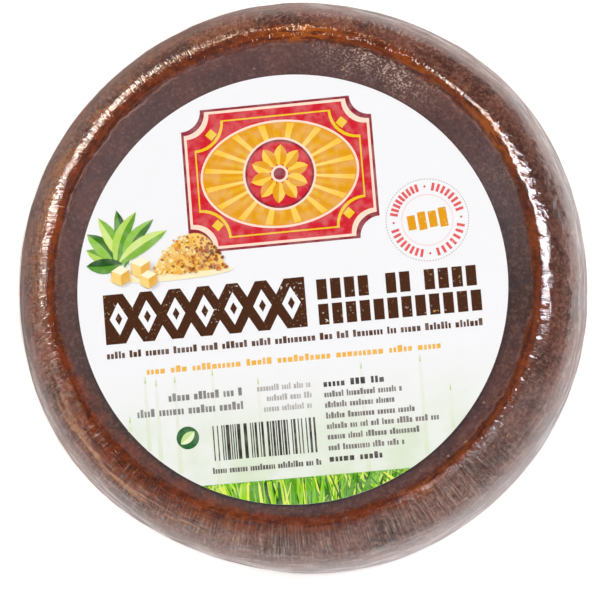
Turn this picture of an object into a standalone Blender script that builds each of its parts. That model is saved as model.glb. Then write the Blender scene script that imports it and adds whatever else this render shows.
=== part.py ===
# Round block of whole cane sugar in clear shrink film, with a round paper label on its top face.
# Metres, +Z up. The origin is the middle of the underside, and the label reads along +X.

from math import atan2, cos, pi, radians, sin

import bpy

# Driving sizes
BLOCK_DIAMETER = 0.128
BLOCK_HEIGHT = 0.029
SHOULDER_RADIUS = 0.013      # round edge from the top face down to the wall
FOOT_RADIUS = 0.008          # round edge from the wall in to the underside
LABEL_DIAMETER = 0.0937
LABEL_THICKNESS = 0.00015
LABEL_OFFSET = (-0.0008, -0.0025)   # the label was stuck on a little low of the middle
TOUCH_GAP = 0.0003           # space left between pieces that touch

# A moulded block is never quite round: (waves round the rim, height of a wave, bearing of a crest)
RIM_WAVES = (
    (2, 0.00026, radians(-65)),
    (3, 0.00022, radians(-57)),
    (4, 0.00026, radians(33)),
    (6, 0.00013, radians(-20)),
)

# Fineness
RIM_STEPS = 144
SHOULDER_STEPS = 9
FOOT_STEPS = 6
MERGE_DISTANCE = 0.00001
SHARP_ANGLE = radians(40)


def clear_scene():
    for old in list(bpy.data.objects):
        bpy.data.objects.remove(old, do_unlink=True)


def make_collection(name):
    collection = bpy.data.collections.new(name)
    bpy.context.scene.collection.children.link(collection)
    return collection


def make_material(name, color, roughness, metallic=0.0):
    material = bpy.data.materials.new(name)
    material.use_nodes = True
    surface = material.node_tree.nodes["Principled BSDF"]
    surface.inputs["Base Color"].default_value = (*color, 1.0)
    surface.inputs["Roughness"].default_value = roughness
    surface.inputs["Metallic"].default_value = metallic
    material.diffuse_color = (*color, 1.0)
    return material


def quarter_round(center_r, center_z, radius, start, steps):
    """Points of a quarter circle in the XZ plane, turning clockwise from the angle start."""
    points = []
    for step in range(steps + 1):
        angle = start - (pi / 2) * step / steps
        points.append((center_r + radius * cos(angle), center_z + radius * sin(angle)))
    return points


def block_profile():
    """Half section of the block at +X, from the middle of the top down to the middle of the underside."""
    rim = BLOCK_DIAMETER / 2
    profile = [(0.0, BLOCK_HEIGHT)]
    profile += quarter_round(rim - SHOULDER_RADIUS, BLOCK_HEIGHT - SHOULDER_RADIUS,
                             SHOULDER_RADIUS, pi / 2, SHOULDER_STEPS)
    profile += quarter_round(rim - FOOT_RADIUS, FOOT_RADIUS, FOOT_RADIUS, 0.0, FOOT_STEPS)
    profile.append((0.0, 0.0))
    return profile


def turn_profile(name, profile, collection):
    """A profile line with a Screw modifier that turns it once about Z."""
    mesh = bpy.data.meshes.new(name)
    points = [(r, 0.0, z) for r, z in profile]
    edges = [(i, i + 1) for i in range(len(points) - 1)]
    mesh.from_pydata(points, edges, [])
    turned = bpy.data.objects.new(name, mesh)
    collection.objects.link(turned)
    screw = turned.modifiers.new("Turn", "SCREW")
    screw.axis = "Z"
    screw.angle = 2 * pi
    screw.steps = RIM_STEPS
    screw.render_steps = RIM_STEPS
    screw.use_merge_vertices = True
    screw.merge_threshold = MERGE_DISTANCE
    screw.use_smooth_shade = True
    return turned


def apply_modifiers(part):
    depsgraph = bpy.context.evaluated_depsgraph_get()
    solid = bpy.data.meshes.new_from_object(part.evaluated_get(depsgraph))
    part.modifiers.clear()
    part.data = solid
    solid.name = part.name
    return part


def rim_swell(bearing):
    """How far the rim stands out of its mean circle at a bearing about Z."""
    return sum(height * cos(waves * (bearing - crest)) for waves, height, crest in RIM_WAVES)


def make_uneven(part):
    """Pushes the turned block in and out along its radius, then centres its box on the origin."""
    rim = BLOCK_DIAMETER / 2
    for vertex in part.data.vertices:
        flat = vertex.co.xy
        if flat.length > MERGE_DISTANCE:
            bearing = atan2(flat.y, flat.x)
            vertex.co.xy = flat * (1 + rim_swell(bearing) / rim)
    for axis in (0, 1):
        places = [vertex.co[axis] for vertex in part.data.vertices]
        middle = (max(places) + min(places)) / 2
        for vertex in part.data.vertices:
            vertex.co[axis] -= middle


def make_block(collection):
    block = turn_profile("wrapped_block", block_profile(), collection)
    apply_modifiers(block)
    make_uneven(block)
    block.data.set_sharp_from_angle(angle=SHARP_ANGLE)
    block.data.materials.append(make_material("film over cane sugar", (0.095, 0.042, 0.034), 0.25))
    return block


def make_label(collection):
    """The paper disc, lying on the block's flat top."""
    low = BLOCK_HEIGHT + TOUCH_GAP
    bpy.ops.mesh.primitive_cylinder_add(
        vertices=RIM_STEPS,
        radius=LABEL_DIAMETER / 2,
        depth=LABEL_THICKNESS,
        location=(*LABEL_OFFSET, low + LABEL_THICKNESS / 2),
    )
    label = bpy.context.object
    label.name = "label"
    label.data.name = "label"
    for owner in list(label.users_collection):
        owner.objects.unlink(label)
    collection.objects.link(label)
    label.data.shade_smooth()
    label.data.set_sharp_from_angle(angle=SHARP_ANGLE)
    label.data.materials.append(make_material("printed paper", (0.80, 0.81, 0.84), 0.45))
    return label


def main():
    clear_scene()
    collection = make_collection("wrapped_sugar_block")
    block = make_block(collection)
    label = make_label(collection)
    bpy.context.view_layer.update()
    label.parent = block
    label.matrix_parent_inverse = block.matrix_world.inverted()


main()
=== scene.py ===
# Round block of whole cane sugar in clear shrink film, with a round printed paper label on top.
# Metres, +Z up. The label's print reads along +X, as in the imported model.

from math import cos, hypot, pi, radians, sin, sqrt
from random import Random

import bmesh
import bpy
import numpy as np
from mathutils import Matrix, Vector, noise


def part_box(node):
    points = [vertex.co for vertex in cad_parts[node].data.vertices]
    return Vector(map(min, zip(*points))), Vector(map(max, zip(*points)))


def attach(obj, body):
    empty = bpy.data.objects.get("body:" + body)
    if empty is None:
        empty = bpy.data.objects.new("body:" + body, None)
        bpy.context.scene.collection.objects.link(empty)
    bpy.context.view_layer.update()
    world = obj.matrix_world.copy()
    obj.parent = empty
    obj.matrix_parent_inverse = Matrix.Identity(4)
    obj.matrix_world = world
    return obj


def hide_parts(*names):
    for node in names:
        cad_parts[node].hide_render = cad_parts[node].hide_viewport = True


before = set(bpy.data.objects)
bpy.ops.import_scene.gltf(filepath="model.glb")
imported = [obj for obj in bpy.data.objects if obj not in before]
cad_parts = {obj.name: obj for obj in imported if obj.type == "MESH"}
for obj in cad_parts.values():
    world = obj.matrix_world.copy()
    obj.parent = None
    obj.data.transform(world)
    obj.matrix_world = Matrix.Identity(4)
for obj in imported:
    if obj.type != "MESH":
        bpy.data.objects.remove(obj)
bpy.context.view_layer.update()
blockLow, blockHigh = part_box("wrapped_block")
labelLow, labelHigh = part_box("label")
mm = 0.001
labelRadius = (labelHigh.x - labelLow.x) / 2 / mm
labelCenter = (labelLow + labelHigh) / 2
print("frame loaded:", ", ".join(sorted(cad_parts)))


# Colours are given as a paint mixer's 0-255 values and used as linear light
def paint(red, green, blue):
    channels = []
    for value in (red, green, blue):
        part = value / 255
        channels.append(part / 12.92 if part <= 0.04045 else ((part + 0.055) / 1.055) ** 2.4)
    return (*channels, 1.0)


pureWhite = (1.0, 1.0, 1.0, 1.0)
pureBlack = (0.0, 0.0, 0.0, 1.0)


def plug(tree, socket, value):
    if isinstance(value, bpy.types.NodeSocket):
        tree.links.new(value, socket)
    else:
        socket.default_value = value


def addNode(tree, kind, inputs=None, **settings):
    node = tree.nodes.new(kind)
    for setting, value in settings.items():
        setattr(node, setting, value)
    for name, value in (inputs or {}).items():
        plug(tree, node.inputs[name], value)
    return node


def calc(tree, operation, first, second=0.0, third=0.0, clamp=False):
    node = addNode(tree, "ShaderNodeMath", operation=operation, use_clamp=clamp)
    for socket, value in zip(node.inputs, (first, second, third)):
        plug(tree, socket, value)
    return node.outputs[0]


# first x second, and then plus extra where it is given
def times(tree, first, second, extra=None, clamp=False):
    if extra is None:
        return calc(tree, "MULTIPLY", first, second, clamp=clamp)
    return calc(tree, "MULTIPLY_ADD", first, second, extra, clamp)


def mixColor(tree, factor, first, second, blend="MIX"):
    node = addNode(tree, "ShaderNodeMix", data_type="RGBA", blend_type=blend)
    for index, value in ((0, factor), (6, first), (7, second)):
        plug(tree, node.inputs[index], value)
    return node.outputs[2]


# Lays a tone over what is below it, as much as the amount, or amount x share, says
def lay(tree, below, tone, amount, share=None):
    return mixColor(tree, amount if share is None else times(tree, amount, share), below, tone)


def spread(tree, value, low, high, newLow=0.0, newHigh=1.0):
    node = addNode(tree, "ShaderNodeMapRange", interpolation_type="SMOOTHSTEP")
    for index, part in enumerate((value, low, high, newLow, newHigh)):
        plug(tree, node.inputs[index], part)
    return node.outputs[0]


def grain(tree, place, scale, detail=2.0, roughness=0.5, distortion=0.0):
    node = addNode(tree, "ShaderNodeTexNoise",
                   {"Vector": place, "Scale": scale, "Detail": detail, "Roughness": roughness,
                    "Distortion": distortion})
    return node.outputs["Fac"]


def cells(tree, place, scale):
    return addNode(tree, "ShaderNodeTexVoronoi", {"Vector": place, "Scale": scale}, feature="F1").outputs


def split(tree, value):
    return addNode(tree, "ShaderNodeSeparateXYZ", {0: value}).outputs


def calcVector(tree, operation, inputs):
    return addNode(tree, "ShaderNodeVectorMath", inputs, operation=operation).outputs


def objectPlace(tree):
    return addNode(tree, "ShaderNodeTexCoord").outputs["Object"]


def weight(tree, name, output="Fac"):
    return addNode(tree, "ShaderNodeAttribute", attribute_name=name).outputs[output]


def newMaterial(name):
    material = bpy.data.materials.new(name)
    material.use_nodes = True
    tree = material.node_tree
    return material, tree, tree.nodes["Principled BSDF"]


# Gives a surface its colour, its roughness and a fine relief, whose depth is in millimetres
def finishSurface(tree, surface, color, roughness, relief, strength, depth, shine=0.5):
    bump = addNode(tree, "ShaderNodeBump", {"Strength": strength, "Distance": depth * mm, "Height": relief})
    for name, value in (("Base Color", color), ("Roughness", roughness), ("Normal", bump.outputs[0])):
        tree.links.new(value, surface.inputs[name])
    surface.inputs["Specular IOR Level"].default_value = shine
    return bump.outputs[0]


def addObject(name, data):
    thing = bpy.data.objects.new(name, data)
    bpy.context.scene.collection.objects.link(thing)
    return thing


def addMesh(name, bm, material):
    mesh = bpy.data.meshes.new(name)
    bm.to_mesh(mesh)
    bm.free()
    mesh.materials.append(material)
    return addObject(name, mesh)


def newPiece(name, bm, material):
    piece = addMesh(name, bm, material)
    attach(piece, "root")
    return piece


def points(mesh):
    flat = np.empty(len(mesh.vertices) * 3, np.float32)
    mesh.vertices.foreach_get("co", flat)
    return flat.reshape(-1, 3).astype(float)


def setPoints(mesh, places):
    mesh.vertices.foreach_set("co", places.astype(np.float32).ravel())
    mesh.update()


def addWeights(mesh, **named):
    for name, weights in named.items():
        layer = mesh.attributes.new(name, "FLOAT", "POINT")
        layer.data.foreach_set("value", weights.astype(np.float32))


# Shader groups that several materials share

def newGroup(name, inputs, outputs):
    group = bpy.data.node_groups.new(name, "ShaderNodeTree")
    newSocket = group.interface.new_socket
    for socket, value in inputs.items():
        newSocket(socket, in_out="INPUT", socket_type="NodeSocketFloat").default_value = value
    for socket in outputs:
        newSocket(socket, in_out="OUTPUT", socket_type="NodeSocketFloat")
    return group, group.nodes.new("NodeGroupInput").outputs, group.nodes.new("NodeGroupOutput").inputs


# Fine folds that run across the rim: noise on a cylinder, drawn out along the section
def makeFoldsGroup():
    defaults = {"Count": 60.0, "Length": 120.0, "Seed": 0.0, "Detail": 3.0}
    group, given, result = newGroup("folds across the rim", defaults, ["Height"])
    axes = split(group, objectPlace(group))
    flat = addNode(group, "ShaderNodeCombineXYZ", {0: axes[0], 1: axes[1]}).outputs[0]
    around = calcVector(group, "NORMALIZE", {0: flat})[0]
    wide = calcVector(group, "SCALE", {0: around, "Scale": given["Count"]})[0]
    reach = calcVector(group, "LENGTH", {0: flat})["Value"]
    along = calc(group, "SUBTRACT", axes[2], reach)
    depth = times(group, along, given["Length"], given["Seed"])
    lift = addNode(group, "ShaderNodeCombineXYZ", {2: depth}).outputs[0]
    place = calcVector(group, "ADD", {0: wide, 1: lift})[0]
    group.links.new(grain(group, place, 1.0, given["Detail"], 0.55), result["Height"])
    return group


# Paper tooth and a faint unevenness of ink, for the label and everything printed on it
def makePaperGroup():
    group, given, result = newGroup("paper tooth", {"Scale": 4000.0}, ["Tooth", "Mottle"])
    place = objectPlace(group)
    group.links.new(grain(group, place, given["Scale"], 4.0, 0.6), result["Tooth"])
    group.links.new(grain(group, place, 450.0, 2.0), result["Mottle"])
    return group


foldsGroup = makeFoldsGroup()
paperGroup = makePaperGroup()


def useGroup(tree, group, **inputs):
    node = tree.nodes.new("ShaderNodeGroup")
    node.node_tree = group
    for name, value in inputs.items():
        plug(tree, node.inputs[name], value)
    return node.outputs


# count sets how many folds go round the rim, and length how fine they are along the section
def foldNoise(tree, count, length, seed, detail=3.0):
    return useGroup(tree, foldsGroup, Count=count, Length=length, Seed=seed, Detail=detail)["Height"]


# The turned section that the block and its film share, in millimetres

section = {
    "height": (blockHigh.z - blockLow.z) / mm,
    "rimRadius": 64.0,
    "shoulderRadius": 13.0,
    "footRadius": 8.0,
    "rimWaves": ((2, 0.26, -88), (3, 0.15, -55), (4, 0.23, 31), (5, 0.05, -12), (6, 0.185, -27)),
    "drift": 0.37,               # how far the rim stands off to one side of the flat top
    "driftBearing": -84,
    "driftLean": 50,             # the lean of the shoulder where the whole drift is reached
    "slack": 0.40,               # how far the rim stays inside the box
    "sectors": 10,
    "sectorSteps": 100,
    "curveSpacing": 0.52,
    "creaseSpacing": 0.22,       # finer where the film's crease runs
    "creaseEnds": (51.2, 53.6),
    "wallCoarser": 1.3,          # how much wider the rings are spaced on the wall and on the foot
    "footCoarser": 1.6,
    "topRings": (3.0, 20.0, 38.0, 43.5, 44.0, 44.5, 45.0, 45.5, 46.0, 46.5, 47.0, 47.5, 48.0, 48.6, 49.2,
                 49.8, 50.4),
    "underRings": (52.0, 44.0, 30.0, 15.0, 3.0, 0.0),
    "topOnly": 15,               # above this height a mark is on the top side only
}
topHeight = section["height"]
shoulderRadius = section["shoulderRadius"]
footRadius = section["footRadius"]
flatEdge = section["rimRadius"] - shoulderRadius
footEdge = section["rimRadius"] - footRadius
shoulderBase = topHeight - shoulderRadius


def sectionLine():
    line = [(0.0, topHeight)]
    line += [(ring, topHeight) for ring in section["topRings"]]
    lean = 0.0
    while lean < pi / 2 - 0.01:
        ring = flatEdge + shoulderRadius * sin(lean)
        line.append((ring, topHeight - shoulderRadius * (1 - cos(lean))))
        onCrease = section["creaseEnds"][0] < ring < section["creaseEnds"][1]
        lean += section["creaseSpacing" if onCrease else "curveSpacing"] / shoulderRadius
    line.append((section["rimRadius"], shoulderBase))
    steps = round((shoulderBase - footRadius) / section["curveSpacing"] / section["wallCoarser"])
    for step in range(1, steps):
        line.append((section["rimRadius"], shoulderBase + (footRadius - shoulderBase) * step / steps))
    steps = round(footRadius * pi / 2 / section["curveSpacing"] / section["footCoarser"])
    for step in range(steps + 1):
        lean = pi / 2 * step / steps
        line.append((footEdge + footRadius * cos(lean), footRadius * (1 - sin(lean))))
    line += [(ring, 0.0) for ring in section["underRings"]]
    return line


# A tenth of the turn is spun, then copied round
def turnSection(line):
    bm = bmesh.new()
    corners = [bm.verts.new((ring * mm, 0.0, level * mm)) for ring, level in line]
    for first, second in zip(corners, corners[1:]):
        bm.edges.new((first, second))
    sectors = section["sectors"]
    bmesh.ops.spin(bm, geom=bm.verts[:] + bm.edges[:], cent=(0, 0, 0), axis=(0, 0, 1),
                   angle=2 * pi / sectors, steps=section["sectorSteps"], use_duplicate=False)
    wedge = bm.verts[:] + bm.edges[:] + bm.faces[:]
    for sector in range(1, sectors):
        copy = bmesh.ops.duplicate(bm, geom=wedge)
        moved = [part for part in copy["geom"] if isinstance(part, bmesh.types.BMVert)]
        turn = Matrix.Rotation(2 * pi * sector / sectors, 3, "Z")
        bmesh.ops.rotate(bm, verts=moved, cent=(0, 0, 0), matrix=turn)
    bmesh.ops.remove_doubles(bm, verts=bm.verts[:], dist=0.001 * mm)
    bmesh.ops.recalc_face_normals(bm, faces=bm.faces[:])
    for face in bm.faces:
        face.smooth = True
    return bm


# Where each point lies on the section: its bearing in degrees, its outward lean (0 on top, 90 on the wall,
# 180 underneath) and its way down from the top's edge
def readSection(places):
    across = np.hypot(places[:, 0], places[:, 1]) / mm
    level = places[:, 2] / mm
    bearing = np.degrees(np.arctan2(places[:, 1], places[:, 0]))
    onShoulder = (level > shoulderBase) & (across > flatEdge)
    onFoot = (level < footRadius) & (across > footEdge)
    onWall = (~onShoulder) & (~onFoot) & (across > footEdge)
    out = np.where(across > footEdge, 1.0, 0.0)
    up = np.where(level > topHeight / 2, 1.0, -1.0) * (1 - out)
    out = np.where(onShoulder, (across - flatEdge) / shoulderRadius, out)
    up = np.where(onShoulder, (level - shoulderBase) / shoulderRadius, up)
    out = np.where(onFoot, (across - footEdge) / footRadius, out)
    up = np.where(onFoot, (level - footRadius) / footRadius, up)
    up = np.where(onWall, 0.0, up)
    lean = np.degrees(np.arctan2(out, up))
    curve = shoulderRadius * pi / 2
    footStart = curve + shoulderBase - footRadius
    down = np.where(onShoulder, np.radians(lean) * shoulderRadius, across - flatEdge)
    down = np.where(onWall, curve + shoulderBase - level, down)
    down = np.where(onFoot, footStart + np.radians(lean - 90) * footRadius, down)
    under = (level < 0.001) & (across <= footEdge)
    down = np.where(under, footStart + footRadius * pi / 2 + footEdge - across, down)
    return across, level, bearing, lean, down, out, up


# Smooth weights round the rim from (middle bearing, half spread, strength), in degrees
def weightAround(bearing, places, most=None):
    total = np.zeros_like(bearing)
    for middle, half, strength in places:
        apart = np.abs((bearing - middle + 180) % 360 - 180)
        fall = np.clip(1 - apart / half, 0, 1)
        total += strength * fall * fall * (3 - 2 * fall)
    return total if most is None else np.minimum(most, total)


def smoothRise(value, low, high):
    part = np.clip((value - low) / (high - low), 0, 1)
    return part * part * (3 - 2 * part)


# Rises from start to full, and falls again from fade to end
def band(value, start, full, fade, end):
    return smoothRise(value, start, full) * (1 - smoothRise(value, fade, end))


def noiseAt(places, scale, seed):
    shifted = places * scale + np.array((seed * 17.3, seed * 5.1, seed * 9.7))
    return np.array([noise.noise(Vector(place)) for place in shifted])


# Noise that runs round the rim: count sets how many folds there are, and stretch how long each is
def noiseAround(bearing, down, count, stretch, seed):
    turn = np.radians(bearing)
    places = np.stack((np.cos(turn) * count, np.sin(turn) * count, down * stretch), axis=1)
    return noiseAt(places, 1.0, seed)


# The rim isn't quite round: waves round it, each a count, a height and the bearing of a crest
def rimSwell(bearing, lean):
    turn = np.radians(bearing)
    swell = sum(height * np.cos(waves * (turn - radians(crest)))
                for waves, height, crest in section["rimWaves"])
    return swell * smoothRise(lean, 0, 60) * (lean < 179)


def shiftOut(places, bearing, out, up, amount):
    turn = np.radians(bearing)
    push = np.stack((np.cos(turn) * out, np.sin(turn) * out, up), axis=1)
    return places + push * (amount * mm)[:, None]


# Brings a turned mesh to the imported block's box, less an inset on every side, and moves its rim to one side
def fitToBlock(places, inset, lean):
    low = np.array(blockLow) + inset * mm
    high = np.array(blockHigh) - inset * mm
    oldLow, oldHigh = places.min(axis=0), places.max(axis=0)
    fitted = low + (places - oldLow) * (high - low) / (oldHigh - oldLow)
    turn = radians(section["driftBearing"])
    drift = np.array((cos(turn), sin(turn), 0.0)) * section["drift"]
    outward = fitted * (1, 1, 0)
    outward /= np.linalg.norm(outward, axis=1)[:, None] + 1e-9
    share = smoothRise(lean, 0, section["driftLean"])[:, None]
    return fitted + share * (drift - outward * section["slack"]) * mm


# The sugar block

sugar = {
    "inset": 0.35,               # how far it lies inside the film, in millimetres
    "lumps": 0.10,
    "grit": 0.035,
    "topBrown": paint(100, 60, 52),
    "topDark": paint(81, 48, 45),
    "topWarm": paint(58, 32, 15),
    "sideBrown": paint(121, 76, 66),
    "sideDark": paint(80, 47, 41),
    # golden side colour, partly the sugar's own tone and partly a painted glow beside the left highlight
    "sideGolden": paint(150, 94, 48),
    "hoopTan": paint(192, 142, 106),
    # painted highlight: a pale line along the top's edge, where the film's crease catches the light
    "paleLine": paint(178, 136, 126),
    "rust": paint(130, 57, 21),
    "rustDark": paint(64, 27, 15),
    "crystalLight": paint(182, 138, 114),
    "crystalDark": paint(44, 22, 16),
    # painted shadow of the label, a dark line on the sugar just outside the label's edge
    "labelLine": paint(34, 16, 14),
    "amber": paint(168, 88, 16),
    "frost": paint(225, 205, 190),
    "fleck": paint(214, 184, 140),
    "relief": 0.15,
    "shine": 0.12,               # low, because the film lies wet against it
    "cloudScale": 130.0,
    "speckScale": 1100.0,
    "crystalScale": 1900.0,
    "crystalShake": 0.8,         # how far the crystals' edges are shaken out of line, in millimetres
    "fleckScale": 230.0,
    "fleckShare": 0.4,
    "blotchScale": 330.0,
    "streakScale": 620.0,
    "needleScale": 900.0,
    "hoopPattern": (9.0, 1000.0, 9.0),          # count round the rim, fineness along the section, seed
    "layerPattern": (9.0, 1250.0, 12.0, 1.0),   # the same, and detail
    "scratchPattern": (100.0, 2300.0, 2.0),
    "glowBand": (3.5, 20.0),     # lean of the shoulder where light gets into the sugar, in degrees
    "hoopBand": (21, 26, 37, 44),
    "frostRing": (44, 49),
    # the label's painted shadow: its width and its gap from the label's edge; then the width of the crease's
    # painted highlight
    "labelLineWidth": 0.55,
    "labelLineGap": 0.2,
    "paleLineWidth": 0.20,
    # places round the rim: middle bearing, half spread, strength
    "widePlaces": ((-135, 44, 1.0),),
    # round bearing 140 the golden tone is also a painted glow beside the left highlight
    "goldenPlaces": ((140, 62, 0.9), (78, 25, 0.1), (-140, 40, 0.3)),
    # the painted shadow of the label lies round its lower side
    "labelLinePlaces": ((-85, 105, 1.0),),
    "amberPlaces": ((84, 14, 1.0), (31, 14, 1.1), (54, 12, 0.45), (-20, 14, 0.2), (5, 10, 0.25),
                    (-112, 10, 0.3), (-64, 10, 0.45), (-48, 30, 0.35), (165, 12, 0.25)),
    "warmTopPlaces": ((222, 62, 1.0), (-6, 26, 0.8)),
    # where the painted highlight of the film's crease shows
    "paleLinePlaces": ((140, 48, 0.8), (95, 30, 0.3), (40, 40, 0.55), (-30, 40, 0.35)),
    "darkEdgePlaces": ((60, 75, 0.9), (150, 60, 0.8), (-50, 60, 0.6)),
    "hoopPlaces": ((-135, 40, 1.5), (165, 30, 0.4)),
    "frostPlaces": ((64, 22, 1.0), (20, 10, 0.2)),
    "broadPlaces": ((80, 30, 3.5), (46, 22, -4.5), (150, 50, 2.0), (-42, 38, -7.0)),   # wider, in degrees
    "earlierPlaces": ((160, 48, -1.0), (184, 22, -1.0), (285, 35, -0.5), (5, 22, 0.7),
                      (48, 24, 0.5)),           # where the glowing band starts sooner, in millimetres
}


def sugarMaterial():
    material, tree, surface = newMaterial("cast cane sugar")
    place = objectPlace(tree)
    cloud = grain(tree, place, sugar["cloudScale"], 4.0, 0.6, 0.4)
    speck = grain(tree, place, sugar["speckScale"], 3.0, 0.65)
    ragged = addNode(tree, "ShaderNodeTexNoise", {"Vector": place, "Scale": 1500.0, "Detail": 2.0})
    shake = (sugar["crystalShake"] * mm,) * 3
    shaken = calcVector(tree, "MULTIPLY_ADD", {0: ragged.outputs["Color"], 1: shake, 2: place})[0]
    sideward, glow = weight(tree, "side"), weight(tree, "glow")

    # The brown body: darker on top, paler or more golden on the side, with tan hoops low on the shoulder
    top = lay(tree, sugar["topDark"], sugar["topBrown"], spread(tree, cloud, 0.35, 0.68))
    top = lay(tree, top, sugar["topWarm"], weight(tree, "warmTop"))
    # The golden tone is partly the sugar's own and partly a painted glow beside the left highlight
    pale = lay(tree, sugar["sideBrown"], sugar["sideGolden"], weight(tree, "golden"))
    side = lay(tree, sugar["sideDark"], pale, spread(tree, cloud, 0.34, 0.60))
    hoops = spread(tree, foldNoise(tree, *sugar["hoopPattern"]), 0.44, 0.58, 0.0, 0.75)
    side = lay(tree, side, sugar["hoopTan"], hoops, weight(tree, "hooped"))
    body = lay(tree, top, side, sideward)
    for tone, low, high, more, least in (("crystalLight", 0.52, 0.68, 0.22, 0.14),
                                         ("crystalDark", 0.48, 0.32, 0.26, 0.20)):
        share = times(tree, sideward, more, least)
        body = lay(tree, body, sugar[tone], spread(tree, speck, low, high), share)

    # The band round the top's edge where light gets in: rust streaks, amber patches and a dark edge
    blotch = grain(tree, place, sugar["blotchScale"], 3.0, 0.6)
    layers = times(tree, foldNoise(tree, *sugar["layerPattern"]), 0.5, times(tree, blotch, 0.5))
    fine = grain(tree, place, sugar["streakScale"], 3.0, 0.6)
    streaks = times(tree, layers, 0.6, times(tree, fine, 0.4))
    rust = lay(tree, sugar["rustDark"], sugar["rust"], spread(tree, streaks, 0.38, 0.58, 0.15, 1.0))
    warm = lay(tree, body, rust, glow, spread(tree, cloud, 0.24, 0.50, 0.45, 1.0))
    warm = lay(tree, warm, sugar["amber"], weight(tree, "amber"), spread(tree, layers, 0.38, 0.54))
    warm = lay(tree, warm, sugar["rustDark"], weight(tree, "darkEdge"))

    # Crystals, calmer in the glowing band, and a few pale flecks
    crystal = split(tree, cells(tree, shaken, sugar["crystalScale"])["Color"])[0]
    lively = times(tree, glow, -0.5, calc(tree, "ADD", sideward, glow, clamp=True))
    calm = times(tree, glow, -0.55, 1.0)
    for tone, low, high, more, least in (("crystalLight", 0.66, 0.98, 0.10, 0.12),
                                         ("crystalDark", 0.34, 0.02, 0.16, 0.16)):
        amount = times(tree, spread(tree, crystal, low, high), times(tree, lively, more, least))
        warm = lay(tree, warm, sugar[tone], amount, calm)
    flecks = cells(tree, shaken, sugar["fleckScale"])
    picked = spread(tree, split(tree, flecks["Color"])[0], 0.84, 0.86)
    fleck = times(tree, spread(tree, flecks["Distance"], 0.10, 0.03), picked)
    warm = lay(tree, warm, sugar["fleck"], fleck, sugar["fleckShare"])

    # Frosty scratches, a pale line painted round the top as the highlight of the film's crease, and a painted
    # shadow of the label round its lower edge
    scratches = spread(tree, foldNoise(tree, *sugar["scratchPattern"]), 0.52, 0.66)
    needles = spread(tree, grain(tree, place, sugar["needleScale"], 4.0, 0.75, 1.0), 0.54, 0.66)
    white = times(tree, weight(tree, "frost"), calc(tree, "ADD", scratches, needles, clamp=True))
    color = lay(tree, warm, sugar["frost"], white, spread(tree, cloud, 0.36, 0.56, 0.3, 1.0))
    for edging in ("paleLine", "labelLine"):
        color = lay(tree, color, sugar[edging], weight(tree, edging))
    rough = spread(tree, speck, 0.3, 0.7, 0.42, 0.65)
    finishSurface(tree, surface, color, rough, speck, 0.5, sugar["relief"], sugar["shine"])
    return material


def makeBlock(line):
    block = newPiece("sugarBlock", turnSection(line), sugarMaterial())
    places = points(block.data)
    across, level, bearing, lean, down, out, up = readSection(places)
    onTop = level > section["topOnly"]
    lumps = noiseAt(places / mm, 1 / 5.0, 3) * sugar["lumps"]
    lumps += noiseAt(places / mm, 1 / 1.3, 4) * sugar["grit"]
    shaped = shiftOut(places, bearing, out, up, rimSwell(bearing, lean) + lumps)
    setPoints(block.data, fitToBlock(shaped, sugar["inset"], lean))

    def around(name, most=None):
        return weightAround(bearing, sugar[name + "Places"], most)

    # The glowing band's edges waver, so each is read on an uneven lean (edge) or way down (into)
    low, high = sugar["glowBand"]
    slow = noiseAround(bearing, down, 9.0, 0.0, 5) * 4
    quick = noiseAround(bearing, down, 40.0, 0.3, 6) * 3
    patchy = noiseAround(bearing, down, 14.0, 0.25, 7)
    wide, broad = around("wide"), around("broad")
    edge = lean + slow + quick * 0.7
    into = down + slow * 0.12 + quick * 0.12 + wide * (1.6 + 3 * patchy) - low * 0.2 + around("earlier")
    glow = smoothRise(into, -wide * 2.0, 0.6 + wide * 3.0)
    glow = glow * (1 - smoothRise(edge - wide * 12 - broad, high - 4, high + 5))
    darkEdge = band(into, 0.06, 0.26, 0.6, 1.5)
    darkEdge *= np.clip(1.5 + 2.5 * noiseAround(bearing, down, 22.0, 0.0, 19), 0, 1)
    # A pale line painted along the top's edge, as the highlight of the film's crease
    paleLine = np.exp(-((into - 0.02) / sugar["paleLineWidth"]) ** 2) * onTop
    paleLine *= np.clip(0.8 + 1.6 * noiseAround(bearing, down, 30.0, 0.0, 20), 0, 1)
    # A painted shadow of the label: a dark line on the sugar just outside the label's edge
    fromLabel = np.hypot(places[:, 0] - labelCenter.x, places[:, 1] - labelCenter.y) / mm - labelRadius
    shadowWidth = sugar["labelLineWidth"]
    labelLine = 1 - smoothRise(np.abs(fromLabel - sugar["labelLineGap"]), shadowWidth * 0.4, shadowWidth)
    frosty = smoothRise(across, *sugar["frostRing"]) * (1 - smoothRise(edge, 2, 8)) * onTop
    # golden is partly a painted glow: it lies beside the left highlight and fades down the wall
    addWeights(block.data, glow=glow, amber=glow * around("amber"), darkEdge=darkEdge * around("darkEdge", 1),
               side=smoothRise(edge - broad * 0.7, high - 6, high + 6), warmTop=around("warmTop", 1),
               golden=around("golden", 1) * (1 - 0.85 * smoothRise(edge, 34, 52)),
               hooped=band(lean, *sugar["hoopBand"]) * around("hoop"), frost=frosty * around("frost"),
               paleLine=paleLine * around("paleLine"), labelLine=labelLine * onTop * around("labelLine", 1))
    return block


# The shrink film

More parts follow.
